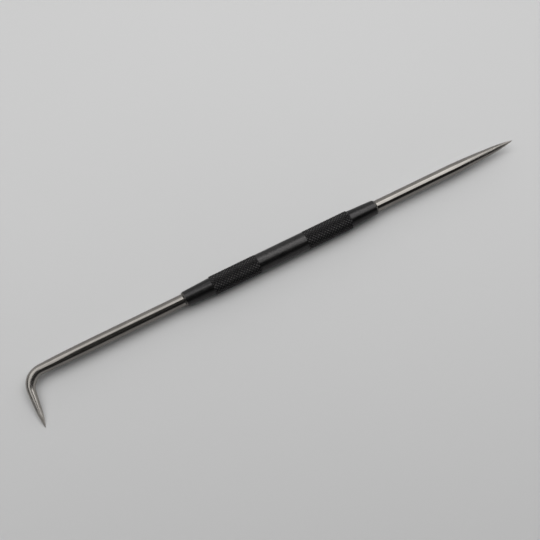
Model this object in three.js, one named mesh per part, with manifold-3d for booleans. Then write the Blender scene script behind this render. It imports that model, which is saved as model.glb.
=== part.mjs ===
// Double-ended scriber: a knurled, blackened steel handle with a straight steel needle pressed into
// one end and a needle bent to about a right angle pressed into the other.
// Millimetres. X runs along the handle towards the straight needle and Z is up. The tool lies on a
// table at Z = 0, on two knurl crests in each band and on the tip of the bent needle.

import * as THREE from 'three';
import { mergeVertices } from 'three/addons/utils/BufferGeometryUtils.js';
import Module from 'manifold-3d';

const wasm = await Module();
wasm.setup();

// Handle, turned from one bar and the same at both ends: a waist, a knurled band and a tapered collar
const waistLength = 21.6;
const waistDiameter = 7.7;
const bandLength = 20.5;
const bandDiameter = 8;
const bandTaper = 0.02;
const bandRunOut = 0.5;
const bandBevel = 0.4;
const collarLength = 12.4;
const collarStep = 0.44;
const mouthChamferLength = 0.75;
const mouthChamferDepth = 0.38;
const mouthWall = 0.16;

// Diamond knurl, rolled left-handed and right-handed at the same helix angle
const knurlTeeth = 18;
const knurlDepth = 0.36;
const knurlHelix = THREE.MathUtils.degToRad(45);

// Both needles are ground from the same wire and pressed into blind bores with a drill-point bottom
const needleDiameter = 5;
const tipDiameter = 0.16;
const tipHalfAngle = THREE.MathUtils.degToRad(13.5);
const seatDepth = 15;
const seatClearance = 0.05;
const seatEndGap = 0.5;
const seatChamfer = 0.4;
const drillHalfAngle = THREE.MathUtils.degToRad(59);

// Straight needle: a long slim taper that ends in a stouter point
const straight = {
  reach: 67.5,
  pointLength: 10.6,
  pointDiameter: 3.05,
  taperLength: 32,
  taperFullness: 0.72,
};

// Bent needle: its taper starts before the bend and runs round it into the leg. The bend is swollen,
// as bending upsets the steel
const bent = {
  reach: 66.2,
  legLength: 20.75,
  bendRadius: 6.6,
  bendTurn: THREE.MathUtils.degToRad(86.5),
  bendSwell: 0.22,
  pointLength: 5.6,
  pointDiameter: 2.2,
  taperLength: 46,
  taperFullness: 0.5,
};

// Facets
const needleSides = 24;
const profileSteps = 7;
const bendSteps = 10;

// Sizes that follow from those above
const handleEnd = waistLength / 2 + bandLength + collarLength;
const waistRadius = waistDiameter / 2;
const crestRadius = bandDiameter / 2;
const grooveRadius = crestRadius - knurlDepth;
const collarRadius = crestRadius - collarStep;
const needleRadius = needleDiameter / 2;
const boreRadius = (needleRadius + seatClearance) / Math.cos(Math.PI / needleSides);
const mouthRadius = boreRadius + mouthWall;
const seatLength = seatDepth - seatEndGap;
const handleSides = 4 * knurlTeeth;
const knurlColumns = 2 * knurlTeeth;
const restRadius = crestRadius * Math.cos(Math.PI / knurlColumns);

const blackenedSteel = new THREE.MeshStandardMaterial({ color: 0x1d1e20, roughness: 0.42, metalness: 0.7 });
const polishedSteel = new THREE.MeshStandardMaterial({ color: 0xb4b1ab, roughness: 0.25, metalness: 1 });

// Booleans take closed meshes that hold positions alone, with shared corners merged
function toSolid(geometry) {
  const bare = geometry.clone();
  bare.deleteAttribute('normal');
  bare.deleteAttribute('uv');
  const merged = mergeVertices(bare, 1e-5);
  const vertProperties = new Float32Array(merged.attributes.position.array);
  const triVerts = new Uint32Array(merged.index.array);
  return new wasm.Manifold(new wasm.Mesh({ numProp: 3, vertProperties, triVerts }));
}

function toGeometry(solid) {
  const mesh = solid.getMesh();
  const geometry = new THREE.BufferGeometry();
  geometry.setAttribute('position', new THREE.BufferAttribute(mesh.vertProperties, 3));
  geometry.setIndex(new THREE.BufferAttribute(mesh.triVerts, 1));
  geometry.computeVertexNormals();
  return geometry;
}

// A piece turned about X, from an outline of [place along X, radius] pairs
function turned(outline, sides) {
  const points = outline.map(([along, radius]) => new THREE.Vector2(radius, along));
  return new THREE.LatheGeometry(points, sides).rotateZ(-Math.PI / 2);
}

// A ring of points round a centre, starting at Z and right-handed about the way it faces
function ring(centre, facing, radii) {
  const up = new THREE.Vector3(0, 0, 1);
  const across = new THREE.Vector3().crossVectors(facing, up);
  return radii.map((radius, side) => {
    const angle = (2 * Math.PI * side) / radii.length;
    return centre.clone()
      .addScaledVector(up, radius * Math.cos(angle))
      .addScaledVector(across, radius * Math.sin(angle));
  });
}

// A closed skin over a stack of rings. leans(side, row) picks the facet pairs that are split from
// their first corner to the opposite one; the others are split across it
function skin(rings, leans = () => false) {
  const sides = rings[0].length;
  const corners = rings.flat();
  const index = [];
  for (let row = 0; row < rings.length - 1; row += 1) {
    for (let side = 0; side < sides; side += 1) {
      const a = row * sides + side;
      const b = row * sides + ((side + 1) % sides);
      const c = a + sides;
      const d = b + sides;
      if (leans(side, row)) index.push(a, b, d, a, d, c);
      else index.push(a, b, c, b, d, c);
    }
  }
  for (const row of [0, rings.length - 1]) {
    const middle = new THREE.Vector3();
    for (const corner of rings[row]) middle.addScaledVector(corner, 1 / sides);
    const centre = corners.push(middle) - 1;
    for (let side = 0; side < sides; side += 1) {
      const here = row * sides + side;
      const next = row * sides + ((side + 1) % sides);
      if (row === 0) index.push(centre, next, here);
      else index.push(centre, here, next);
    }
  }
  const geometry = new THREE.BufferGeometry().setFromPoints(corners);
  geometry.setIndex(index);
  geometry.computeVertexNormals();
  return geometry;
}

// Knurled stock. Left-hand and right-hand grooves cross, and between each four crossings stands a
// pyramid: crests and crossings alternate round every row and along every line, half a pitch apart.
// It is turned by half a column, so that two lines of crests face straight down, and it is slightly
// thinner towards the waist, so that the tool lies on the crests next to the collars
function knurledStock() {
  const halfPitch = (Math.PI * bandDiameter) / knurlColumns / Math.tan(knurlHelix);
  const rows = 4 * Math.ceil(bandLength / 4 / halfPitch) + 4;
  const along = new THREE.Vector3(1, 0, 0);
  const rings = [];
  for (let row = 0; row <= rows; row += 1) {
    const place = (row - rows / 2) * halfPitch;
    const thinning = (bandTaper / 2) * (0.5 - place / bandLength);
    const radii = Array.from({ length: knurlColumns }, (_, column) => (
      ((column + row) % 2 === 1 ? crestRadius : grooveRadius) - thinning
    ));
    rings.push(ring(new THREE.Vector3(place, 0, 0), along, radii));
  }
  return skin(rings, (column, row) => (column + row) % 2 === 0).rotateX(Math.PI / knurlColumns);
}

// One knurled band, centred on X = 0: the stock bevelled down to the collar and run out to the waist.
// Each end cone goes on inwards below its neighbour's surface, which makes the join a clean one
function knurledBand() {
  const clear = crestRadius + knurlDepth;
  const buried = grooveRadius - knurlDepth;
  const end = bandLength / 2;
  const waistSide = (radius) => -end + (bandRunOut * (radius - waistRadius)) / (crestRadius - waistRadius);
  const collarSide = (radius) => end - (bandBevel * (radius - collarRadius)) / (crestRadius - collarRadius);
  const blank = turned([
    [waistSide(buried), 0],
    [waistSide(buried), buried],
    [waistSide(clear), clear],
    [collarSide(clear), clear],
    [collarSide(buried), buried],
    [collarSide(buried), 0],
  ], handleSides);
  return toSolid(knurledStock()).intersect(toSolid(blank));
}

// The rest of the bar: the waist, a core through the bands, and a tapered, chamfered collar at each end
function handleCore() {
  const overlap = knurlDepth / 8;
  const coreRadius = grooveRadius - knurlDepth / 2;
  const shoulder = handleEnd - collarLength - overlap;
  const half = [
    [waistLength / 2 + overlap, waistRadius],
    [waistLength / 2 + overlap, coreRadius],
    [shoulder, coreRadius],
    [shoulder, collarRadius],
    [handleEnd - mouthChamferLength, mouthRadius + mouthChamferDepth],
    [handleEnd, mouthRadius],
    [handleEnd, 0],
  ];
  const mirrored = half.map(([along, radius]) => [-along, radius]).reverse();
  return toSolid(turned([...mirrored, ...half], handleSides));
}

// The drill that opens the right bore
function boreDrill() {
  const mouthOverrun = mouthChamferLength;
  return toSolid(turned([
    [handleEnd - seatDepth - boreRadius / Math.tan(drillHalfAngle), 0],
    [handleEnd - seatDepth, boreRadius],
    [handleEnd + mouthOverrun, boreRadius],
    [handleEnd + mouthOverrun, 0],
  ], needleSides));
}

function makeHandle() {
  const band = knurledBand().translate([(waistLength + bandLength) / 2, 0, 0]);
  const drill = boreDrill();
  const solid = handleCore()
    .add(band)
    .add(band.rotate([0, 0, 180]))
    .subtract(drill)
    .subtract(drill.rotate([0, 0, 180]));
  return toGeometry(solid);
}

// Outline of a ground needle as [distance behind the tip, radius]: a curved point, then a taper that
// leaves the point's base in the same direction and runs out tangent to the wire
function needleOutline({ pointLength, pointDiameter, taperLength, taperFullness }) {
  const tip = new THREE.Vector2(0, tipDiameter / 2);
  const base = new THREE.Vector2(pointLength, pointDiameter / 2);
  const wire = new THREE.Vector2(taperLength, needleRadius);
  const meet = new THREE.Vector2(base.x + taperFullness * (wire.x - base.x), needleRadius);
  const taperSlope = (meet.y - base.y) / (meet.x - base.x);
  const tipSlope = Math.tan(tipHalfAngle);
  const noseLength = (base.y - taperSlope * base.x - tip.y) / (tipSlope - taperSlope);
  const nose = new THREE.Vector2(noseLength, tip.y + tipSlope * noseLength);
  const point = new THREE.QuadraticBezierCurve(tip, nose, base).getPoints(profileSteps);
  const taper = new THREE.QuadraticBezierCurve(base, meet, wire).getPoints(profileSteps);
  return [...point, ...taper.slice(1)].map((place) => place.toArray());
}

// Straight needle, with X = 0 at the mouth of its bore
function makeStraightNeedle() {
  const ground = needleOutline(straight).map(([behind, radius]) => [straight.reach - behind, radius]);
  return turned([
    [-seatLength, 0],
    [-seatLength, needleRadius - seatChamfer],
    [-seatLength + seatChamfer, needleRadius],
    ...ground.reverse(),
    [straight.reach, 0],
  ], needleSides);
}

// Centre line of the bent needle in its own plane, from the seated end out to the tip: a shank, an arc
// and a leg. X = 0 is at the mouth of the bore, and the leg points to -Y
function bentCentreLine() {
  const { reach, legLength, bendRadius, bendTurn } = bent;
  const setBack = bendRadius * Math.tan(bendTurn / 2);
  const corner = new THREE.Vector2(-reach, 0);
  const legWay = new THREE.Vector2(-Math.cos(bendTurn), -Math.sin(bendTurn));
  const tip = corner.clone().addScaledVector(legWay, legLength);
  const line = new THREE.Path();
  line.moveTo(seatLength, 0);
  line.lineTo(corner.x + setBack, 0);
  line.absarc(corner.x + setBack, -bendRadius, bendRadius, Math.PI / 2, Math.PI / 2 + bendTurn, false);
  line.lineTo(tip.x, tip.y);
  return line;
}

// Bent needle: rings of the ground outline's radius, swept square to the centre line
function makeBentNeedle() {
  const line = bentCentreLine();
  const length = line.getLength();
  const [shank, arc] = line.curves.map((curve) => curve.getLength());
  const ground = needleOutline(bent).map(([behind, radius]) => [length - behind, radius]).reverse();
  const outline = [[0, needleRadius - seatChamfer], [seatChamfer, needleRadius], ...ground];
  const radiusAt = (place) => {
    const next = Math.max(1, outline.findIndex(([along]) => along >= place));
    const [from, fromRadius] = outline[next - 1];
    const [to, toRadius] = outline[next];
    const round = THREE.MathUtils.clamp((place - shank) / arc, 0, 1);
    const swell = bent.bendSwell * Math.sin(Math.PI * round) ** 2;
    return THREE.MathUtils.mapLinear(place, from, to, fromRadius, toRadius) + swell;
  };
  const inBend = Array.from({ length: bendSteps + 1 }, (_, step) => shank + (arc * step) / bendSteps);
  const outside = outline.map(([along]) => along).filter((along) => along < shank || along > shank + arc);
  const rings = [...outside, ...inBend].sort((one, other) => one - other).map((place) => {
    const centre = line.getPointAt(place / length);
    const facing = line.getTangentAt(place / length);
    const radii = new Array(needleSides).fill(radiusAt(place));
    return ring(new THREE.Vector3(centre.x, centre.y, 0), new THREE.Vector3(facing.x, facing.y, 0), radii);
  });
  return skin(rings);
}

// The turn about X that lowers the leg until its underside is as low as the knurled bands
function restingTurn(geometry) {
  const corners = geometry.attributes.position;
  const lowest = (turn) => {
    let low = Infinity;
    for (let corner = 0; corner < corners.count; corner += 1) {
      const height = corners.getY(corner) * Math.sin(turn) + corners.getZ(corner) * Math.cos(turn);
      low = Math.min(low, height);
    }
    return low;
  };
  let [above, below] = [0, Math.PI / 2];
  while (below - above > 1e-6) {
    const middle = (above + below) / 2;
    if (lowest(middle) > -restRadius) above = middle;
    else below = middle;
  }
  return above;
}

const handle = new THREE.Mesh(makeHandle(), blackenedSteel);
handle.name = 'handle';

const straightNeedle = new THREE.Mesh(makeStraightNeedle(), polishedSteel);
straightNeedle.name = 'straight_needle';
straightNeedle.position.x = handleEnd;

const bentNeedle = new THREE.Mesh(makeBentNeedle(), polishedSteel.clone());
bentNeedle.name = 'bent_needle';
bentNeedle.position.x = -handleEnd;
bentNeedle.rotation.x = restingTurn(bentNeedle.geometry);

// The tool stands with the middle of its footprint at the origin and its lowest points on Z = 0
const scriber = new THREE.Group();
scriber.add(handle, straightNeedle, bentNeedle);
scriber.updateMatrixWorld(true);
const bounds = new THREE.Box3().setFromObject(scriber, true);
const middle = bounds.getCenter(new THREE.Vector3());
scriber.position.set(-middle.x, -middle.y, -bounds.min.z);

export default scriber;
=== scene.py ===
import math

import bmesh
import bpy
import numpy as np
from bpy.props import FloatProperty, FloatVectorProperty, IntProperty, PointerProperty
from mathutils import Matrix, Vector


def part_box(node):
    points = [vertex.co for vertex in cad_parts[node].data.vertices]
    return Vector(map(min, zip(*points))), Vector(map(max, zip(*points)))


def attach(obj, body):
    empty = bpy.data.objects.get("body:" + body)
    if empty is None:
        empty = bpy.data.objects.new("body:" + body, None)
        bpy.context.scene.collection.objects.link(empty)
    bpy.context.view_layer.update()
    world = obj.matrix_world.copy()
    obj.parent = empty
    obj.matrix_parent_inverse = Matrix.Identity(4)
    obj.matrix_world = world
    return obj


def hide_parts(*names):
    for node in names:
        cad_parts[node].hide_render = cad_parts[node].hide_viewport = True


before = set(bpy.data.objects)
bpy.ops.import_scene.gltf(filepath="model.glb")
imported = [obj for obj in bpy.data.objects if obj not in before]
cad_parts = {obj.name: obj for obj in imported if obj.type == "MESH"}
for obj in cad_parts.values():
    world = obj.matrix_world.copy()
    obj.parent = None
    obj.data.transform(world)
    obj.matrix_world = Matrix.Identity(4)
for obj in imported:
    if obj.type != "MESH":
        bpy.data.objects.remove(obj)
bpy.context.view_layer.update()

bl_info = {
    "name": "Double-ended scriber",
    "version": (1, 0, 0),
    "blender": (4, 5, 0),
    "location": "3D View > Sidebar > Scriber",
    "description": "Builds a double-ended scriber with a knurled handle, a straight and a bent needle",
    "category": "Add Mesh",
}

# Metres. X runs along the handle towards the straight needle and Z is up, as in the CAD model. The tool
# lies on a table at Z = 0, on two rows of knurl crests in each band and on the bent needle's tip.

HANDLE_LOW, HANDLE_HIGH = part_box("handle")
MIDDLE = (HANDLE_LOW + HANDLE_HIGH) / 2  # of the handle, on its axis, which is level and along X

BODY = "root"

COLUMN_STEPS = 6  # facets across half a knurl pitch, round the handle and along it
WAIST_RINGS = (0.25, 0.75, 1.0)  # places of rings, as shares of half the waist's length
EDGE_STEPS = 3
EDGE_SHARE = 0.4  # most of a side of an outline that the rounding of one corner takes
NEEDLE_SIDES = 96
TAPER_STEPS = 28
BEND_STEPS = 40
TIP_RINGS = (0.3, 0.7, 1.15)  # radians round the rounding at the tip of a needle
SHARP_ANGLE = math.radians(35)  # edges bent further than this are shaded as sharp
MERGE_DISTANCE = 1e-7
TURN_PRECISION = 1e-7  # radians

RIDGE_BLEND = 0.1  # rounding where the flanks of crossing grooves meet, as a share of the knurl's depth
RUBBED_BARE = 0.05  # share of the way from crest to groove where the black is all rubbed off
STILL_BLACK = 0.4  # the same share where all of it is left

TABLE_WIDTH = 6.0
CARD_GREY = 0.22
WHITE = (1.0, 1.0, 1.0, 1.0)

# Places of the Mix node's colour sockets, whose names its other sockets share
MIX_FIRST = 6
MIX_SECOND = 7
MIX_RESULT = 2


# Sizes, finishes and studio


def length(name, text, metres):
    """A size in metres, shown in the scene's own unit."""
    return FloatProperty(
        name=name, description=text, default=metres, min=0.0, precision=5, subtype="DISTANCE", unit="LENGTH"
    )


def offset(name, text, metres):
    """A distance in metres that may also be negative."""
    return FloatProperty(
        name=name, description=text, default=metres, precision=4, subtype="DISTANCE", unit="LENGTH"
    )


def angle(name, text, degrees):
    """An angle, stored in radians and shown in degrees."""
    return FloatProperty(
        name=name, description=text, default=math.radians(degrees), subtype="ANGLE", unit="ROTATION"
    )


def share(name, text, value):
    """A share from 0 to 1."""
    return FloatProperty(name=name, description=text, default=value, min=0.0, max=1.0, subtype="FACTOR")


def level(name, text, value):
    """A level from 0 upwards."""
    return FloatProperty(name=name, description=text, default=value, min=0.0)


def colour(name, text, value):
    """A linear colour."""
    return FloatVectorProperty(
        name=name, description=text, default=value, min=0.0, max=1.0, size=3, subtype="COLOR"
    )


def place(name, text, value):
    """A point in metres."""
    return FloatVectorProperty(
        name=name, description=text, default=value, size=3, precision=4, subtype="TRANSLATION", unit="LENGTH"
    )


class ScriberHandleSizes(bpy.types.PropertyGroup):
    """The handle, which is the same at both ends."""

    waist_length: length("Waist length", "Smooth middle between the knurled bands", 0.0216)
    waist_diameter: length("Waist diameter", "Thickness of the smooth middle", 0.0077)
    band_length: length("Band length", "Length of each knurled band", 0.0205)
    band_diameter: length("Band diameter", "Thickness over the knurl's crests", 0.008)
    band_run_out: length("Band run-out", "Length in which a band rises from the waist", 0.0005)
    band_bevel: length("Band bevel", "Length in which a band drops to its collar", 0.0004)
    collar_length: length("Collar length", "Smooth tapered end beyond each band", 0.0124)
    collar_step: length("Collar step", "Drop from the crests to the collar, in radius", 0.00044)
    chamfer_length: length("Chamfer length", "Length of the chamfer at the handle's ends", 0.00075)
    chamfer_depth: length("Chamfer depth", "Drop of that chamfer, in radius", 0.00038)
    mouth_wall: length("Mouth wall", "Width of the flat ring round each needle", 0.00018)
    edge_radius: length("Edge radius", "Rounding of the turned edges", 0.00005)
    knurl_teeth: IntProperty(
        name="Knurl teeth", description="Grooves of one hand round the grip", default=18, min=6
    )
    knurl_depth: length("Knurl depth", "From crest to groove, in radius", 0.00036)
    knurl_helix: angle("Knurl helix", "Slant of the grooves from the handle's length", 45)
    crest_wear: share("Crest wear", "How far the knurl's crests are rounded, as a share of its depth", 0.09)
    collar_wear: share("Collar wear", "How far the black is rubbed off the collars", 0.11)
    waist_wear: share("Waist wear", "How far the black is rubbed off the waist", 0.17)


class ScriberNeedleSizes(bpy.types.PropertyGroup):
    """Both needles, which are ground from the same wire."""

    wire_diameter: length("Wire diameter", "Thickness of both needles", 0.005)
    tip_diameter: length("Tip diameter", "Width left at each point", 0.00016)
    tip_half_angle: angle("Tip half angle", "Half of the included angle at each point", 13.5)
    seat_depth: length("Seat depth", "Depth of the bore that holds a needle", 0.015)
    seat_clearance: length("Seat clearance", "Gap between a needle and its bore, in radius", 0.00005)
    seat_end_gap: length("Seat end gap", "Space left at the bottom of the bore", 0.0005)
    seat_chamfer: length("Seat chamfer", "Chamfer on the needle's hidden end", 0.0004)
    drill_half_angle: angle("Drill half angle", "Half of the angle of the drill that made the bore", 59)
    straight_reach: length("Straight reach", "From the handle's end to the straight point", 0.0675)
    straight_point: length("Straight point", "Length of the straight needle's point", 0.0106)
    straight_point_width: length("Straight point width", "Thickness behind that point", 0.00305)
    straight_taper: length("Straight taper", "Length of the straight needle's whole taper", 0.032)
    straight_fullness: share("Straight fullness", "How late that taper slims down", 0.72)
    bent_corner: length("Bent corner", "From the handle's end to the bent needle's corner", 0.0662)
    bent_leg: length("Bent leg", "From that corner to the point", 0.02075)
    bend_radius: length("Bend radius", "Radius of the bend's centre line", 0.0066)
    bend_turn: angle("Bend turn", "Angle that the needle is bent through", 86.5)
    bend_swell: length("Bend swell", "Growth of the radius in the middle of the bend", 0.00022)
    bent_point: length("Bent point", "Length of the bent needle's point", 0.0056)
    bent_point_width: length("Bent point width", "Thickness behind that point", 0.0022)
    bent_taper: length("Bent taper", "Length of the bent needle's whole taper", 0.046)
    bent_fullness: share("Bent fullness", "How late that taper slims down", 0.5)


class ScriberFinishes(bpy.types.PropertyGroup):
    """The two steels."""

    dark_colour: colour("Blackened steel", "Black oxide over turned steel", (0.031, 0.0305, 0.0315))
    dark_roughness: share("Blackened roughness", "Roughness of the black oxide", 0.32)
    worn_colour: colour("Worn steel", "Steel where the black has rubbed off", (0.2, 0.19, 0.175))
    bright_colour: colour("Bright steel", "Ground and polished steel", (0.23, 0.217, 0.2015))
    bright_roughness: share("Bright roughness", "Roughness of the polished steel", 0.12)
    # The bent point's colour is painted lighter than its steel, standing in for light that its dipping leg
    # doesn't catch.
    bent_point_painted_light: colour("Bent point", "Freshly ground steel of the bent point", (0.36, 0.34, 0.315))
    point_roughness: share("Point roughness", "Roughness of the hand-ground points", 0.27)
    point_length: length("Point finish length", "How far behind a tip that finish reaches", 0.016)
    # Painted highlight: the tips' colour is made this many times brighter.
    tip_painted_light: level("Tip lift", "How many times brighter the tips are, ground again with use", 1.9)
    tip_roughness: share("Tip roughness", "Roughness of those tips", 0.36)
    tip_length: length("Tip finish length", "How far behind a tip that finish reaches", 0.0075)


class ScriberStudio(bpy.types.PropertyGroup):
    """Camera, table and lights."""

    focal_length: FloatProperty(
        name="Focal length", description="Millimetres on a 36 mm wide sensor", default=53.333,
        subtype="DISTANCE_CAMERA", unit="CAMERA",
    )
    turn: angle("Turn", "How far the camera is turned round from the tool's front", 27.637)
    elevation: angle("Elevation", "Camera above the horizon", 68.752)
    distance: length("Distance", "From the camera to its aim on the table", 0.32369)
    aim: place("Aim", "Where the camera looks, from the table below the handle", (-0.00703, -0.00322, 0.0))
    table_colour: colour("Table", "Matt pale table", (0.6, 0.6, 0.6))
    table_near: length("Table near", "How far off the table starts to fade into the walls", 0.3)
    table_far: length("Table far", "How far off it has faded into them", 0.9)
    panel_height: length("Panel height", "Height of both overhead panels above the table", 0.5)
    panel_turn: angle("Panel turn", "How far the panels are turned round from the tool's front", 15)
    panel_far: length("Panel far", "How far both reach beyond the tool", 0.42)
    panel_right: offset("Panel right", "How far the brighter one hangs to the right", 0.2)
    panel_width: length("Panel width", "Width of the brighter panel", 0.5)
    panel_near: length("Panel near", "How far it reaches on the viewer's side of the tool", 0.13)
    panel_level: level("Panel level", "Radiance of the brighter panel, where white is 1", 2.17)
    side_width: length("Side panel width", "Width of the dimmer panel, which adjoins it on the left", 0.6)
    side_near: length("Side panel near", "How far it reaches on the viewer's side of the tool", 0.2)
    side_level: level("Side panel level", "Radiance of the dimmer panel", 1.4)
    card_height: length("Card height", "Height of the card that keeps light off the near side", 0.33)
    card_width: length("Card width", "Its width", 0.176)
    card_right: offset("Card right", "How far it is held to the right", -0.038)
    card_depth: length("Card depth", "Its depth, from its far edge towards the viewer", 0.55)
    card_near: length("Card near", "How far its far edge stays on the viewer's side", 0.005)
    wall_level: level("Wall level", "Radiance of the pale walls, low round the table", 0.62)
    wall_rise: angle("Wall rise", "Where the walls have faded into the dimmer room", 14)
    far_level: level("Far level", "Radiance of the room beyond the table", 0.85)
    near_level: level("Near level", "Radiance of the room behind the camera", 0.04)


# Node trees and pieces


class Tree:
    """Short calls for building one node tree."""

    def __init__(self, tree):
        self.tree = tree

    def add(self, kind, values=None, **settings):
        """A new node. Values are keyed by input name or place, and are numbers or other nodes' sockets."""
        node = self.tree.nodes.new(kind)
        for key, value in settings.items():
            setattr(node, key, value)
        for key, value in (values or {}).items():
            self.feed(node.inputs[key], value)
        return node

    def feed(self, socket, value):
        """Links or sets one input."""
        if isinstance(value, bpy.types.NodeSocket):
            self.tree.links.new(value, socket)
        else:
            socket.default_value = value

    def math(self, operation, *terms):
        """The result of a Math node."""
        return self.add("ShaderNodeMath", dict(enumerate(terms)), operation=operation).outputs[0]

    def plus(self, one, other):
        """The sum."""
        return self.math("ADD", one, other)

    def minus(self, one, other):
        """The difference."""
        return self.math("SUBTRACT", one, other)

    def times(self, one, other):
        """The product."""
        return self.math("MULTIPLY", one, other)

    def over(self, one, other):
        """The quotient."""
        return self.math("DIVIDE", one, other)

    def diagonal(self, one, other):
        """The long side of a right-angled triangle with these two short sides."""
        return self.math("SQRT", self.plus(self.times(one, one), self.times(other, other)))

    def ramp(self, value, low, high, start=0.0, end=1.0):
        """A value mapped from low..high to start..end and held there outside."""
        ranges = {"Value": value, "From Min": low, "From Max": high, "To Min": start, "To Max": end}
        return self.add("ShaderNodeMapRange", ranges).outputs[0]

    def vector(self, x, y, z):
        """A vector from its three parts."""
        return self.add("ShaderNodeCombineXYZ", {"X": x, "Y": y, "Z": z}).outputs[0]

    def parts(self, vector):
        """The three parts of a vector, under X, Y and Z."""
        return self.add("ShaderNodeSeparateXYZ", {0: vector}).outputs

    def store(self, geometry, name, value, kind="FLOAT", chosen=True):
        """The geometry with a value kept on its points, or on the chosen ones."""
        values = {"Geometry": geometry, "Selection": chosen, "Name": name, "Value": value}
        node = self.add("GeometryNodeStoreNamedAttribute", values, data_type=kind, domain="POINT")
        return node.outputs[0]

    def kept(self, name, kind="FLOAT"):
        """The value that the points keep under that name."""
        return self.add("GeometryNodeInputNamedAttribute", {"Name": name}, data_type=kind).outputs[0]

    def mix(self, factor, one, two):
        """The colour that share of the way from one to two."""
        values = {"Factor": factor, MIX_FIRST: one, MIX_SECOND: two}
        return self.add("ShaderNodeMix", values, data_type="RGBA").outputs[MIX_RESULT]

    def noise(self, spot, scale, detail):
        """Noise with that many lumps to a unit."""
        values = {"Vector": spot, "Scale": scale, "Detail": detail}
        return self.add("ShaderNodeTexNoise", values).outputs["Fac"]

    def streaks(self, spot, scales, detail):
        """Noise with a number of lumps to a unit of its own in each direction."""
        squeezed = self.add("ShaderNodeMapping", {"Vector": spot, "Scale": scales}).outputs[0]
        return self.noise(squeezed, 1.0, detail)

    def bump(self, height, strength, distance, **base):
        """A normal tilted by a height, on top of another normal if one is given."""
        values = {"Strength": strength, "Distance": distance, "Height": height, **base}
        return self.add("ShaderNodeBump", values).outputs[0]


def geometry_tree(name, inputs):
    """A geometry node tree with geometry in and out and the named inputs besides."""
    tree = bpy.data.node_groups.new(name, "GeometryNodeTree")
    tree.interface.new_socket("Geometry", in_out="OUTPUT", socket_type="NodeSocketGeometry")
    tree.interface.new_socket("Geometry", in_out="INPUT", socket_type="NodeSocketGeometry")
    for label, kind in inputs.items():
        tree.interface.new_socket(label, in_out="INPUT", socket_type="NodeSocket" + kind)
    build = Tree(tree)
    return build, build.add("NodeGroupInput").outputs, build.add("NodeGroupOutput").inputs


def end_tree(build, geometry, material, output):
    """Ends a geometry tree in Realize Instances and Set Material."""
    real = build.add("GeometryNodeRealizeInstances", {"Geometry": geometry}).outputs[0]
    done = build.add("GeometryNodeSetMaterial", {"Geometry": real, "Material": material}).outputs[0]
    build.feed(output["Geometry"], done)


def run_tree(name, data, tree, values):
    """Runs a geometry tree on a mesh or curve and gives the result as a plain mesh object."""
    source = bpy.data.objects.new(name + "_source", data)
    bpy.context.scene.collection.objects.link(source)
    modifier = source.modifiers.new("Shape", "NODES")
    modifier.node_group = tree
    for item in tree.interface.items_tree:
        if item.in_out == "INPUT" and item.name in values:
            modifier[item.identifier] = values[item.name]
    bpy.context.view_layer.update()
    graph = bpy.context.evaluated_depsgraph_get()
    mesh = bpy.data.meshes.new_from_object(
        source.evaluated_get(graph), preserve_all_data_layers=True, depsgraph=graph
    )
    bpy.data.objects.remove(source)
    mesh.name = name
    piece = bpy.data.objects.new(name, mesh)
    bpy.context.scene.collection.objects.link(piece)
    return piece


def close_skin(mesh):
    """Merges the seams of a closed skin, points its faces outwards and keeps its sharp edges sharp."""
    work = bmesh.new()
    work.from_mesh(mesh)
    bmesh.ops.remove_doubles(work, verts=work.verts, dist=MERGE_DISTANCE)
    bmesh.ops.recalc_face_normals(work, faces=work.faces)
    for face in work.faces:
        face.smooth = True
    for edge in work.edges:
        edge.smooth = edge.calc_face_angle(0.0) < SHARP_ANGLE
    open_edges = [edge for edge in work.edges if not edge.is_manifold]
    work.to_mesh(mesh)
    work.free()
    if open_edges:
        raise RuntimeError(f"{mesh.name} has {len(open_edges)} open edges")


def hand_over(piece, node):
    """Gives a finished piece to the frame."""
    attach(piece, BODY)
    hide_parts(node)


# Outline and blank of the handle


def arc(start, corner, stop, part):
    """The point that share of the way along a curve from start to stop, which leaves both towards the
    corner between them."""
    return (1 - part) ** 2 * start + 2 * part * (1 - part) * corner + part ** 2 * stop


def eased(corners, radius):
    """An outline with each inner corner rounded by an arc of about that radius."""
    points = [Vector(corner) for corner in corners]
    smooth = [points[0]]
    for before, corner, after in zip(points, points[1:], points[2:]):
        back = before - corner
        ahead = after - corner
        reach = min(radius, EDGE_SHARE * back.length, EDGE_SHARE * ahead.length)
        start = corner + back.normalized() * reach
        stop = corner + ahead.normalized() * reach
        smooth += [arc(start, corner, stop, step / EDGE_STEPS) for step in range(EDGE_STEPS + 1)]
    smooth.append(points[-1])
    return smooth


def half_length(handle):
    """From the handle's middle to its end."""
    return handle.waist_length / 2 + handle.band_length + handle.collar_length


def collar_outline(handle, needles):
    """Right end of the handle, as (place along X, radius): the collar, the chamfer, the flat ring round
    the needle and the bore down to its drilled bottom."""
    end = half_length(handle)
    bore = needles.wire_diameter / 2 + needles.seat_clearance
    mouth = bore + handle.mouth_wall
    collar = handle.band_diameter / 2 - handle.collar_step
    bottom = end - needles.seat_depth
    drill_tip = bottom - bore / math.tan(needles.drill_half_angle)
    return eased([
        (end - handle.collar_length, collar),
        (end - handle.chamfer_length, mouth + handle.chamfer_depth),
        (end, mouth),
        (end, bore),
        (bottom, bore),
        (drill_tip, 0.0),
    ], handle.edge_radius)


def band_stations(handle):
    """Places along X of the rings in the right band, with the knurl's crests and crossings among them."""
    half_pitch = math.pi * handle.band_diameter / 2 / handle.knurl_teeth / math.tan(handle.knurl_helix)
    step = half_pitch / COLUMN_STEPS
    end_room = 0.25  # least gap between the last of the even rings and the band's end, in steps
    middle = (handle.waist_length + handle.band_length) / 2
    count = math.floor(handle.band_length / 2 / step - end_room)
    inner = [middle + number * step for number in range(-count, count + 1)]
    return [middle - handle.band_length / 2, *inner, middle + handle.band_length / 2]


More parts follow.
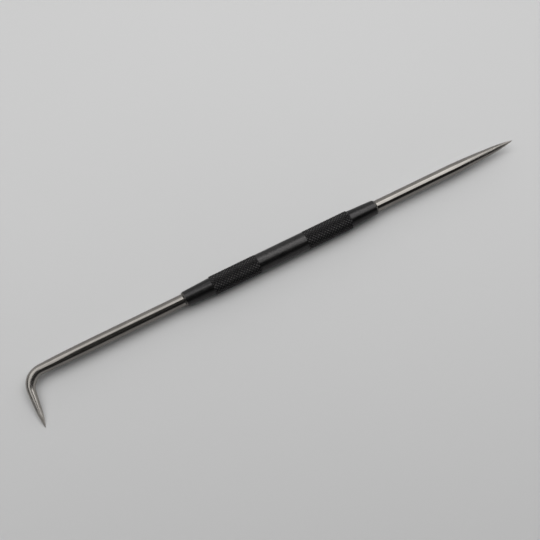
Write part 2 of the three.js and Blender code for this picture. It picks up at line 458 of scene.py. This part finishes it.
def handle_blank(handle, needles):
    """The turned bar before knurling, bored at both ends. Its rings are marked as knurled or not, and
    with the share of the black that is rubbed off."""
    waist = handle.waist_diameter / 2
    crest = handle.band_diameter / 2
    chamfer_start = half_length(handle) - handle.chamfer_length
    half = [(handle.waist_length / 2 * part, waist, 0.0, handle.waist_wear) for part in WAIST_RINGS]
    half += [(along, crest, 1.0, 0.0) for along in band_stations(handle)]
    for point in collar_outline(handle, needles):
        on_collar = point.x <= chamfer_start - handle.edge_radius / 2
        half.append((point.x, point.y, 0.0, handle.collar_wear if on_collar else 1.0))
    mirrored = [(-along, radius, knurled, worn) for along, radius, knurled, worn in reversed(half)]
    columns = 2 * handle.knurl_teeth * COLUMN_STEPS
    work = bmesh.new()
    knurled_layer = work.verts.layers.float.new("knurled")
    wear_layer = work.verts.layers.float.new("wear")
    skin = []
    for along, radius, knurled, worn in mirrored + half:
        ring = []
        for column in range(columns if radius > 0 else 1):
            turn = 2 * math.pi * column / columns
            corner = work.verts.new((along, -radius * math.sin(turn), radius * math.cos(turn)))
            corner[knurled_layer] = knurled
            corner[wear_layer] = worn
            ring.append(corner)
        skin.append(ring)
    for one, two in zip(skin, skin[1:]):
        for column in range(columns):
            corners = [
                one[column % len(one)], one[(column + 1) % len(one)],
                two[(column + 1) % len(two)], two[column % len(two)],
            ]
            work.faces.new(list(dict.fromkeys(corners)))
    mesh = bpy.data.meshes.new("handle_blank")
    work.to_mesh(mesh)
    work.free()
    return mesh


# Outlines and centre lines of the needles


def needle_outline(needles, point, point_width, taper, fullness):
    """A ground needle's outline as (distance behind the tip, radius): a curved point, then a taper that
    leaves the point's base in the same direction and runs out tangent to the wire."""
    wire = needles.wire_diameter / 2
    tip = Vector((0.0, needles.tip_diameter / 2))
    base = Vector((point, point_width / 2))
    end = Vector((taper, wire))
    meet = Vector((base.x + fullness * (end.x - base.x), wire))
    taper_slope = (meet.y - base.y) / (meet.x - base.x)
    tip_slope = math.tan(needles.tip_half_angle)
    nose_length = (base.y - taper_slope * base.x - tip.y) / (tip_slope - taper_slope)
    nose = Vector((nose_length, tip.y + tip_slope * nose_length))
    outline = []
    for start, corner, stop in ((tip, nose, base), (base, meet, end)):
        outline += [arc(start, corner, stop, step / TAPER_STEPS) for step in range(TAPER_STEPS)]
    outline.append(end)
    rounding = [Vector((tip.y * (1 - math.cos(turn)), tip.y * math.sin(turn))) for turn in TIP_RINGS]
    return [*rounding, *[spot for spot in outline if spot.x > tip.y]]


def seat_outline(needles, total):
    """The hidden end of a needle, as (distance behind the tip, radius)."""
    wire = needles.wire_diameter / 2
    return [Vector((total - needles.seat_chamfer, wire)), Vector((total, wire - needles.seat_chamfer))]


def straight_stations(needles):
    """The straight needle as (place, radius) stations from its tip, measured from the handle's end."""
    total = needles.straight_reach + needles.seat_depth - needles.seat_end_gap
    outline = needle_outline(
        needles, needles.straight_point, needles.straight_point_width, needles.straight_taper,
        needles.straight_fullness,
    ) + seat_outline(needles, total)
    return [(Vector((needles.straight_reach - spot.x, 0.0, 0.0)), spot.y) for spot in outline]


def bent_stations(handle, needles):
    """The bent needle as (place, radius) stations from its tip, measured from the handle's middle."""
    corner = Vector((-half_length(handle) - needles.bent_corner, 0.0, 0.0))
    leg_way = Vector((-math.cos(needles.bend_turn), -math.sin(needles.bend_turn), 0.0))
    set_back = needles.bend_radius * math.tan(needles.bend_turn / 2)
    leg = needles.bent_leg - set_back
    bend = needles.bend_radius * needles.bend_turn
    shank = needles.bent_corner - set_back + needles.seat_depth - needles.seat_end_gap
    outline = needle_outline(
        needles, needles.bent_point, needles.bent_point_width, needles.bent_taper, needles.bent_fullness
    ) + seat_outline(needles, leg + bend + shank)
    behind = [spot.x for spot in outline]
    radii = [spot.y for spot in outline]

    def centre(spot):
        """The centre line's place that far behind the tip."""
        if spot <= leg:
            return corner + leg_way * (needles.bent_leg - spot)
        if spot >= leg + bend:
            return Vector((corner.x + set_back + spot - leg - bend, 0.0, 0.0))
        turn = math.pi / 2 + (leg + bend - spot) / needles.bend_radius
        hub = Vector((corner.x + set_back, -needles.bend_radius, 0.0))
        return hub + needles.bend_radius * Vector((math.cos(turn), math.sin(turn), 0.0))

    def thickness(spot):
        """The radius there, swollen in the bend."""
        swell = math.sin(math.pi * min(max((spot - leg) / bend, 0.0), 1.0)) ** 2
        return float(np.interp(spot, behind, radii)) + needles.bend_swell * swell

    bend_spots = [leg + bend * step / BEND_STEPS for step in range(BEND_STEPS + 1)]
    other_spots = [spot for spot in behind if not leg < spot < leg + bend]
    return [(centre(spot), thickness(spot)) for spot in sorted(bend_spots + other_spots)]


def needle_curve(name, stations):
    """A curve through (place, radius) stations, for sweeping a needle."""
    curve = bpy.data.curves.new(name, "CURVE")
    curve.dimensions = "3D"
    spline = curve.splines.new("POLY")
    spline.points.add(len(stations) - 1)
    for point, (spot, radius) in zip(spline.points, stations):
        point.co = (*spot, 1.0)
        point.radius = radius
    return curve


def ground_needle(name, stations, finish, point_colour_and_painted_light):
    """A needle swept through its stations, in polished steel."""
    piece = run_tree(name, needle_curve(name + "_line", stations), needle_tree(), {
        "Sides": NEEDLE_SIDES,
        "Material": polished_steel(finish, point_colour_and_painted_light),
    })
    close_skin(piece.data)
    return piece


def resting_turn(piece, drop):
    """The turn about X that lowers the piece until its lowest point is that far below the axis."""
    corners = np.empty(3 * len(piece.data.vertices))
    piece.data.vertices.foreach_get("co", corners)
    across, up = corners.reshape(-1, 3)[:, 1:].T
    above = 0.0
    below = math.pi / 2
    while below - above > TURN_PRECISION:
        turn = (above + below) / 2
        if (across * math.sin(turn) + up * math.cos(turn)).min() > -drop:
            above = turn
        else:
            below = turn
    return above


# Geometry nodes


def knurl_tree():
    """Diamond knurl: cuts left-hand and right-hand grooves into the marked rings of a turned blank, bevels
    the band down to the collar, runs it out to the waist and marks grooves and rubbed crests."""
    build, given, output = geometry_tree("Diamond knurl", {
        "Teeth": "Int", "Depth": "Float", "Helix": "Float", "Crest radius": "Float", "Band middle": "Float",
        "Band half length": "Float", "Waist radius": "Float", "Collar radius": "Float", "Run-out": "Float",
        "Bevel": "Float", "Crest wear": "Float", "Material": "Material",
    })
    crest = given["Crest radius"]
    spot = build.parts(build.add("GeometryNodeInputPosition").outputs[0])
    along = build.minus(build.math("ABSOLUTE", spot["X"]), given["Band middle"])

    # Place on the band in columns and rows of half a pitch. The half column puts the top and the bottom of
    # the handle between two rows of crests.
    turn = build.math("ARCTAN2", build.times(spot["Y"], -1.0), spot["Z"])
    column = build.math("MULTIPLY_ADD", turn, build.over(given["Teeth"], math.pi), -0.5)
    slant = build.times(given["Teeth"], build.math("TANGENT", given["Helix"]))
    half_pitch = build.over(build.times(crest, math.pi), slant)
    row = build.over(along, half_pitch)

    # Share of the way from crest to groove, for each hand, and then the larger of the two. A smooth
    # maximum of two equal values stands a sixth of its blend above them.
    hands = []
    for operation in ("ADD", "SUBTRACT"):
        phase = build.times(build.math(operation, column, row), 0.5)
        from_groove = build.times(build.math("PINGPONG", phase, 0.5), 2.0)
        hands.append(build.minus(1.0, from_groove))
    side = build.minus(build.math("SMOOTH_MAX", *hands, RIDGE_BLEND), RIDGE_BLEND / 6)
    fall = build.minus(build.diagonal(side, given["Crest wear"]), given["Crest wear"])
    knurl = build.minus(crest, build.times(given["Depth"], fall))

    before_end = build.minus(given["Band half length"], along)
    bevel = build.over(build.minus(crest, given["Collar radius"]), given["Bevel"])
    bevelled = build.math("MULTIPLY_ADD", before_end, bevel, given["Collar radius"])
    past_start = build.plus(given["Band half length"], along)
    slope = build.over(build.minus(crest, given["Waist radius"]), given["Run-out"])
    risen = build.math("MULTIPLY_ADD", past_start, slope, given["Waist radius"])
    radius = build.math("MINIMUM", knurl, build.math("MINIMUM", bevelled, risen))

    grow = build.over(radius, build.diagonal(spot["Y"], spot["Z"]))
    moved = build.vector(spot["X"], build.times(spot["Y"], grow), build.times(spot["Z"], grow))
    in_band = build.add("FunctionNodeCompare", {
        0: build.kept("knurled"), 1: 0.5,
    }, data_type="FLOAT", operation="GREATER_THAN").outputs[0]
    rubbed = build.ramp(side, RUBBED_BARE, STILL_BLACK, start=1.0, end=0.0)
    cut = build.store(given["Geometry"], "wear", rubbed, chosen=in_band)
    # The depth into the grooves is kept for the painted shade in the material.
    cut = build.store(cut, "groove", side, chosen=in_band)
    cut = build.add("GeometryNodeSetPosition", {
        "Geometry": cut, "Selection": in_band, "Position": moved,
    }).outputs[0]
    end_tree(build, cut, given["Material"], output)
    return build.tree


def needle_tree():
    """Ground needle: sweeps a circle along a centre line whose points carry the needle's radius, and keeps
    each point's place on the needle before it was bent, for the grinding marks."""
    build, given, output = geometry_tree("Ground needle", {"Sides": "Int", "Material": "Material"})
    radius = build.add("GeometryNodeInputRadius").outputs[0]
    reach = build.add("GeometryNodeSplineParameter").outputs["Length"]
    circle = build.add("GeometryNodeCurvePrimitiveCircle", {"Resolution": given["Sides"], "Radius": 1.0})
    position = build.add("GeometryNodeInputPosition").outputs[0]
    rim = build.store(circle.outputs[0], "rim", position, kind="FLOAT_VECTOR")
    line = build.store(given["Geometry"], "reach", reach)
    line = build.store(line, "thickness", radius)
    swept = build.add("GeometryNodeCurveToMesh", {
        "Curve": line, "Profile Curve": rim, "Scale": radius, "Fill Caps": True,
    }).outputs[0]
    side = build.parts(build.kept("rim", "FLOAT_VECTOR"))
    thick = build.kept("thickness")
    unbent = build.vector(build.kept("reach"), build.times(side["X"], thick), build.times(side["Y"], thick))
    marked = build.store(swept, "unbent", unbent, kind="FLOAT_VECTOR")
    end_tree(build, marked, given["Material"], output)
    return build.tree


# Materials. Their noises count lumps to a metre, and their bumps are in metres.


def new_material(name):
    """A node material, the short calls for its tree, and its Principled shader."""
    material = bpy.data.materials.new(name)
    material.use_nodes = True
    return material, Tree(material.node_tree), material.node_tree.nodes["Principled BSDF"]


def tint(base, lift):
    """A colour made lighter or darker, with its alpha."""
    return (*[min(1.0, lift * part) for part in base], 1.0)


def blackened_steel(finish):
    """Black oxide: dark and satin, faintly mottled, with turned rings, painted shade darkening the knurl's
    grooves, and bare specks where the crests and edges rub."""
    material, build, shader = new_material("Blackened steel")
    spot = build.add("ShaderNodeTexCoord").outputs["Object"]
    worn = build.add("ShaderNodeAttribute", attribute_name="wear").outputs["Fac"]
    groove = build.add("ShaderNodeAttribute", attribute_name="groove").outputs["Fac"]
    mottle = build.noise(spot, scale=380.0, detail=4.0)
    specks = build.noise(spot, scale=2400.0, detail=3.0)
    grain = build.noise(spot, scale=9000.0, detail=2.0)
    turned = build.streaks(spot, scales=(16000.0, 60.0, 60.0), detail=2.0)

    dark = finish.dark_colour
    tone = build.mix(build.ramp(mottle, low=0.3, high=0.7), tint(dark, 0.86), tint(dark, 1.14))
    # Painted shade: the colour darkens towards the bottoms of the knurl's grooves.
    painted_groove_shade = build.ramp(groove, low=0.3, high=0.85, end=0.6)
    groove_shaded_tone = build.mix(painted_groove_shade, tone, tint(dark, 0.4))
    rubbed = build.times(worn, build.ramp(specks, low=0.38, high=0.62, start=0.05, end=0.8))
    build.feed(shader.inputs["Base Color"], build.mix(rubbed, groove_shaded_tone, tint(finish.worn_colour, 1.0)))

    smoothest = 0.85 * finish.dark_roughness
    roughest = 1.2 * finish.dark_roughness
    rough = build.ramp(mottle, low=0.25, high=0.75, start=smoothest, end=roughest)
    build.feed(shader.inputs["Roughness"], rough)
    shader.inputs["Metallic"].default_value = 1.0
    turning = build.bump(turned, strength=0.12, distance=2e-5)
    build.feed(shader.inputs["Normal"], build.bump(grain, strength=0.15, distance=1e-5, Normal=turning))
    return material


def polished_steel(finish, point_colour_and_painted_light):
    """Bright ground steel with faint lengthwise marks, a few cross scratches, a slight bloom, a duller
    hand-ground point whose colour is painted lighter on the bent needle, and a painted highlight at the tip."""
    material, build, shader = new_material("Polished steel")
    spot = build.add("ShaderNodeAttribute", attribute_name="unbent").outputs["Vector"]
    behind = build.parts(spot)["X"]
    marks = build.streaks(spot, scales=(90.0, 3200.0, 3200.0), detail=5.0)
    scratches = build.streaks(spot, scales=(5200.0, 180.0, 180.0), detail=3.0)
    bloom = build.noise(spot, scale=160.0, detail=5.0)
    at_point = build.ramp(behind, finish.point_length, 1.8 * finish.point_length, start=1.0, end=0.0)
    at_tip = build.ramp(behind, 0.3 * finish.tip_length, finish.tip_length, start=1.0, end=0.0)

    bright = finish.bright_colour
    tone = build.mix(build.ramp(bloom, low=0.3, high=0.7), tint(bright, 0.88), tint(bright, 1.08))
    # On the bent needle this colour is painted lighter, standing in for light on its leg.
    tone = build.mix(at_point, tone, tint(point_colour_and_painted_light, 1.0))
    # Painted highlight: the tips are painted brighter still.
    tone = build.mix(at_tip, tone, tint(point_colour_and_painted_light, finish.tip_painted_light))
    streak = build.ramp(marks, low=0.35, high=0.62, start=0.35, end=0.0)
    build.feed(shader.inputs["Base Color"], build.mix(streak, tone, tint(bright, 0.6)))

    rough = build.ramp(at_point, 0.0, 1.0, start=finish.bright_roughness, end=finish.point_roughness)
    rough = build.ramp(at_tip, 0.0, 1.0, start=rough, end=finish.tip_roughness)
    rough = build.times(rough, build.ramp(marks, low=0.3, high=0.7, start=1.3, end=0.75))
    build.feed(shader.inputs["Roughness"], rough)
    shader.inputs["Metallic"].default_value = 1.0
    drawn = build.bump(marks, strength=0.2, distance=1e-5)
    build.feed(shader.inputs["Normal"], build.bump(scratches, strength=0.12, distance=1e-5, Normal=drawn))
    return material


def matt_table(studio):
    """A smooth matt table top, which far from the tool is seen at the level of the pale walls."""
    material, build, shader = new_material("Matt table")
    spot = build.add("ShaderNodeTexCoord").outputs["Object"]
    cloud = build.noise(spot, scale=6.0, detail=2.0)
    tone = build.mix(cloud, tint(studio.table_colour, 0.985), tint(studio.table_colour, 1.015))
    build.feed(shader.inputs["Base Color"], tone)
    shader.inputs["Roughness"].default_value = 0.8
    shader.inputs["Specular IOR Level"].default_value = 0.2
    flat = build.parts(spot)
    fade = build.ramp(build.diagonal(flat["X"], flat["Y"]), studio.table_near, studio.table_far)
    path = build.add("ShaderNodeLightPath").outputs
    seen = build.math("MAXIMUM", path["Is Camera Ray"], path["Is Glossy Ray"])
    walls = build.add("ShaderNodeEmission", {"Color": WHITE, "Strength": studio.wall_level}).outputs[0]
    shown = build.add("ShaderNodeMixShader", {0: build.times(seen, fade), 1: shader.outputs[0], 2: walls})
    build.feed(material.node_tree.nodes["Material Output"].inputs["Surface"], shown.outputs[0])
    return material


def dark_card():
    """Dull dark grey card."""
    material, _, shader = new_material("Dark card")
    shader.inputs["Base Color"].default_value = (CARD_GREY, CARD_GREY, CARD_GREY, 1.0)
    shader.inputs["Roughness"].default_value = 0.9
    return material


# Operators


class SCRIBER_OT_handle(bpy.types.Operator):
    """Turns the handle, knurls its two bands and bores its two ends"""

    bl_idname = "scriber.handle"
    bl_label = "Handle"

    def execute(self, context):
        handle = context.scene.scriber_handle
        blank = handle_blank(handle, context.scene.scriber_needles)
        piece = run_tree("scriber_handle", blank, knurl_tree(), {
            "Teeth": handle.knurl_teeth,
            "Depth": handle.knurl_depth,
            "Helix": handle.knurl_helix,
            "Crest radius": handle.band_diameter / 2,
            "Band middle": (handle.waist_length + handle.band_length) / 2,
            "Band half length": handle.band_length / 2,
            "Waist radius": handle.waist_diameter / 2,
            "Collar radius": handle.band_diameter / 2 - handle.collar_step,
            "Run-out": handle.band_run_out,
            "Bevel": handle.band_bevel,
            "Crest wear": handle.crest_wear,
            "Material": blackened_steel(context.scene.scriber_finishes),
        })
        close_skin(piece.data)
        piece.data.transform(Matrix.Translation(MIDDLE))
        hand_over(piece, "handle")
        return {"FINISHED"}


class SCRIBER_OT_straight_needle(bpy.types.Operator):
    """Grinds the straight needle and seats it in the handle"""

    bl_idname = "scriber.straight_needle"
    bl_label = "Straight needle"

    def execute(self, context):
        stations = straight_stations(context.scene.scriber_needles)
        finish = context.scene.scriber_finishes
        piece = ground_needle("scriber_straight_needle", stations, finish, finish.bright_colour)
        handle_end = Vector((half_length(context.scene.scriber_handle), 0.0, 0.0))
        piece.data.transform(Matrix.Translation(MIDDLE + handle_end))
        hand_over(piece, "straight_needle")
        return {"FINISHED"}


class SCRIBER_OT_bent_needle(bpy.types.Operator):
    """Grinds the other needle, bends it and lowers its point to the table"""

    bl_idname = "scriber.bent_needle"
    bl_label = "Bent needle"

    def execute(self, context):
        stations = bent_stations(context.scene.scriber_handle, context.scene.scriber_needles)
        finish = context.scene.scriber_finishes
        piece = ground_needle("scriber_bent_needle", stations, finish, finish.bent_point_painted_light)
        turned = Matrix.Rotation(resting_turn(piece, MIDDLE.z), 4, "X")
        piece.data.transform(Matrix.Translation(MIDDLE) @ turned)
        hand_over(piece, "bent_needle")
        return {"FINISHED"}


class SCRIBER_OT_stage(bpy.types.Operator):
    """Sets up the table, the soft lights, the room and the camera"""

    bl_idname = "scriber.stage"
    bl_label = "Stage"

    def execute(self, context):
        studio = context.scene.scriber_studio
        self.lay_table(context, studio)
        self.hang_panels(context, studio)
        self.light_room(context, studio)
        self.hold_card(context, studio)
        self.place_camera(context, studio)
        context.scene.view_settings.view_transform = "Standard"
        return {"FINISHED"}

    def add_plane(self, context, name, material, width, depth):
        """A level rectangle, centred on the origin and facing up."""
        work = bmesh.new()
        spread = Matrix.Diagonal((width, depth, 1, 1))
        bmesh.ops.create_grid(work, x_segments=1, y_segments=1, size=0.5, matrix=spread)
        mesh = bpy.data.meshes.new(name)
        work.to_mesh(mesh)
        work.free()
        mesh.materials.append(material)
        plane = bpy.data.objects.new(name, mesh)
        context.scene.collection.objects.link(plane)
        return plane

    def lay_table(self, context, studio):
        """A flat table top, level with the tool's lowest points."""
        table = self.add_plane(context, "table", matt_table(studio), TABLE_WIDTH, TABLE_WIDTH)

    def hang_panels(self, context, studio):
        """Two soft panels side by side over the table, the dimmer one on the left."""
        left = studio.panel_right - (studio.panel_width + studio.side_width) / 2
        brighter = (studio.panel_right, studio.panel_width, studio.panel_near, studio.panel_level)
        dimmer = (left, studio.side_width, studio.side_near, studio.side_level)
        self.hang_panel(context, studio, "overhead_panel", *brighter)
        self.hang_panel(context, studio, "side_panel", *dimmer)

    def hang_panel(self, context, studio, name, right, width, near, radiance):
        """A soft panel, which shows in reflections but not to the camera."""
        depth = studio.panel_far + near
        light = bpy.data.lights.new(name, "AREA")
        light.shape = "RECTANGLE"
        light.size = width
        light.size_y = depth
        # An evenly bright panel sends out pi times its area times its radiance
        light.energy = math.pi * width * depth * radiance
        lamp = bpy.data.objects.new(name, light)
        hung = Matrix.Translation((right, studio.panel_far - depth / 2, studio.panel_height))
        lamp.matrix_world = Matrix.Rotation(-studio.panel_turn, 4, "Z") @ hung
        lamp.visible_camera = False
        context.scene.collection.objects.link(lamp)

    def hold_card(self, context, studio):
        """A dark card just above the camera, unseen by it, that keeps light off the tool's near side."""
        card = self.add_plane(context, "card", dark_card(), studio.card_width, studio.card_depth)
        back = -studio.card_near - studio.card_depth / 2
        held = Matrix.Translation((studio.card_right, back, studio.card_height))
        card.data.transform(Matrix.Rotation(-studio.panel_turn, 4, "Z") @ held)
        card.visible_camera = False

    def light_room(self, context, studio):
        """A dim room, darker behind the camera, with pale walls low round the table."""
        world = bpy.data.worlds.new("Room")
        world.use_nodes = True
        context.scene.world = world
        build = Tree(world.node_tree)
        world.node_tree.nodes.clear()
        way = build.parts(build.add("ShaderNodeTexCoord").outputs["Generated"])
        ahead = build.times(way["Y"], math.cos(studio.turn))
        away = build.math("MULTIPLY_ADD", way["X"], math.sin(studio.turn), ahead)
        room = build.ramp(away, low=-0.1, high=0.7, start=studio.near_level, end=studio.far_level)
        wall_top = math.sin(studio.wall_rise)
        wall_fade = math.sin(0.3 * studio.wall_rise)
        wall = build.ramp(way["Z"], wall_fade, wall_top, start=1.0, end=0.0)
        strength = build.math("MULTIPLY_ADD", wall, build.minus(studio.wall_level, room), room)
        shown = build.add("ShaderNodeBackground", {"Color": WHITE, "Strength": strength}).outputs[0]
        build.add("ShaderNodeOutputWorld", {"Surface": shown})

    def place_camera(self, context, studio):
        """The camera, which looks down on the tool from the side of the bent needle."""
        lens = bpy.data.cameras.new("camera")
        lens.sensor_width = 36.0
        lens.lens = studio.focal_length
        lens.clip_start = 0.01
        camera = bpy.data.objects.new("camera", lens)
        ahead = Vector((math.sin(studio.turn), math.cos(studio.turn), 0.0)) * math.cos(studio.elevation)
        facing = ahead - Vector((0.0, 0.0, math.sin(studio.elevation)))
        below_handle = Vector((MIDDLE.x, MIDDLE.y, 0.0))
        camera.location = below_handle + Vector(studio.aim) - studio.distance * facing
        camera.rotation_euler = facing.to_track_quat("-Z", "Y").to_euler()
        context.scene.collection.objects.link(camera)
        context.scene.camera = camera


class SCRIBER_PT_panel(bpy.types.Panel):
    """Sizes, finishes and steps for the scriber"""

    bl_idname = "SCRIBER_PT_panel"
    bl_label = "Double-ended scriber"
    bl_space_type = "VIEW_3D"
    bl_region_type = "UI"
    bl_category = "Scriber"

    def draw(self, context):
        for group_name in GROUPS:
            group = getattr(context.scene, group_name)
            box = self.layout.box()
            for name in group.bl_rna.properties.keys():
                if name not in ("rna_type", "name"):
                    box.prop(group, name)
        for operator in OPERATORS:
            self.layout.operator(operator.bl_idname)


GROUPS = {
    "scriber_handle": ScriberHandleSizes,
    "scriber_needles": ScriberNeedleSizes,
    "scriber_finishes": ScriberFinishes,
    "scriber_studio": ScriberStudio,
}
OPERATORS = (SCRIBER_OT_handle, SCRIBER_OT_straight_needle, SCRIBER_OT_bent_needle, SCRIBER_OT_stage)
CLASSES = (*GROUPS.values(), *OPERATORS, SCRIBER_PT_panel)


def register():
    for kind in CLASSES:
        bpy.utils.register_class(kind)
    for name, kind in GROUPS.items():
        setattr(bpy.types.Scene, name, PointerProperty(type=kind))


def unregister():
    for name in GROUPS:
        delattr(bpy.types.Scene, name)
    for kind in reversed(CLASSES):
        bpy.utils.unregister_class(kind)


def main():
    register()
    bpy.ops.scriber.stage()
    bpy.ops.scriber.handle()
    bpy.ops.scriber.straight_needle()
    bpy.ops.scriber.bent_needle()


if __name__ == "__main__":
    main()
